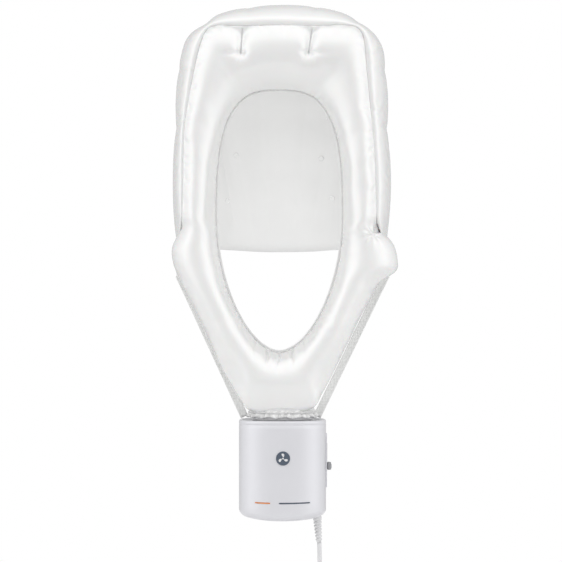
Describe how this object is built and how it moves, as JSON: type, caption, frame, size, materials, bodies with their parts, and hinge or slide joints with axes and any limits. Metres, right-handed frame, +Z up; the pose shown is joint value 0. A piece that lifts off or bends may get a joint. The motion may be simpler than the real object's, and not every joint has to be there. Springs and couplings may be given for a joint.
{
  "type": "hood hair dryer",
  "caption": "Soft inflatable hood with an egg-shaped face opening over a small drum-shaped blower with heater, fan, side switch and mains lead; air fills and warms the hood.",
  "frame": {"origin": "inner top of the hood's crown, where the head carries it", "axes": "+Z up, the face opening looks along -Y, +X to the viewer's right"},
  "size_m": [0.2458, 0.2367, 0.8255],
  "materials": {
    "pearl_film": "pearly translucent coated film",
    "clear_tape": "frosted woven tape",
    "silver_white": "silver-white satin gloss",
    "dark_plastic": "fine texture",
    "white_plastic": "satin",
    "inner_plastic": "satin",
    "slate": "satin",
    "steel": "bright",
    "brass": "satin",
    "copper": "wound wire",
    "mica": "layered mica",
    "elastic": "knitted cord",
    "board": "solder mask",
    "foam": "open mesh",
    "cord_vinyl": "smooth vinyl"
  },
  "bodies": {
    "hood": {"hood_face_ring": "pearl_film", "hood_outer_skin": "pearl_film", "hood_liner": "pearl_film", "nape_hem": "pearl_film", "face_binding": "pearl_film", "neck_sleeve": "pearl_film", "neck_elastic": "elastic", "hood_collar_ring": "white_plastic", "support_tape_left": "clear_tape", "support_tape_right": "clear_tape", "tape_hook_left": "white_plastic", "tape_hook_right": "white_plastic", "tape_patch_left": "pearl_film", "tape_patch_right": "pearl_film"},
    "blower": {"housing_front": "silver_white", "housing_rear": "silver_white", "case_screw_1": "steel", "case_screw_2": "steel", "case_screw_3": "steel", "case_screw_4": "steel", "badge": "slate", "accent_line": "slate", "switch_plate": "silver_white", "switch_body": "dark_plastic", "fan_duct": "inner_plastic", "stator_hub": "inner_plastic", "motor_can": "steel", "motor_end_cap": "dark_plastic", "magnet_a": "slate", "magnet_b": "slate", "outlet_spigot": "inner_plastic", "outlet_grille": "dark_plastic", "heater_tube": "mica", "mica_card_a": "mica", "mica_card_b": "mica", "heater_coil": "steel", "thermostat": "brass", "thermal_fuse": "brass", "control_board": "board", "ion_module": "white_plastic", "ion_needle": "steel", "cord_clamp": "white_plastic", "clamp_screw_1": "steel", "clamp_screw_2": "steel", "lead_to_switch": "slate", "lead_to_board": "slate", "strain_relief": "white_plastic", "mains_cord": "cord_vinyl", "cord_coil": "cord_vinyl", "cord_tail": "cord_vinyl", "cord_tie": "dark_plastic", "plug_body": "cord_vinyl", "plug_pin_a": "steel", "plug_pin_b": "steel"},
    "rotor": {"impeller": "dark_plastic", "armature": "copper", "motor_shaft": "steel"},
    "switch_knob": {"switch_knob": "dark_plastic"},
    "inlet_grille": {"inlet_grille": "inner_plastic", "inlet_filter": "foam"}
  },
  "joints": [
    {"name": "hood_release", "type": "slide", "parent": "hood", "child": "blower", "axis": [0, 0, -1], "range_m": [0, 0.03]},
    {"name": "fan_spin", "type": "hinge", "parent": "blower", "child": "rotor", "pos_m": [0, -0.06, -0.52], "axis": [0, 0, 1], "continuous": true},
    {"name": "switch_travel", "type": "slide", "parent": "blower", "child": "switch_knob", "axis": [0, 0, 1], "range_m": [0, 0.01]},
    {"name": "grille_release", "type": "slide", "parent": "blower", "child": "inlet_grille", "axis": [0, 0, -1], "range_m": [0, 0.025]}
  ]
}
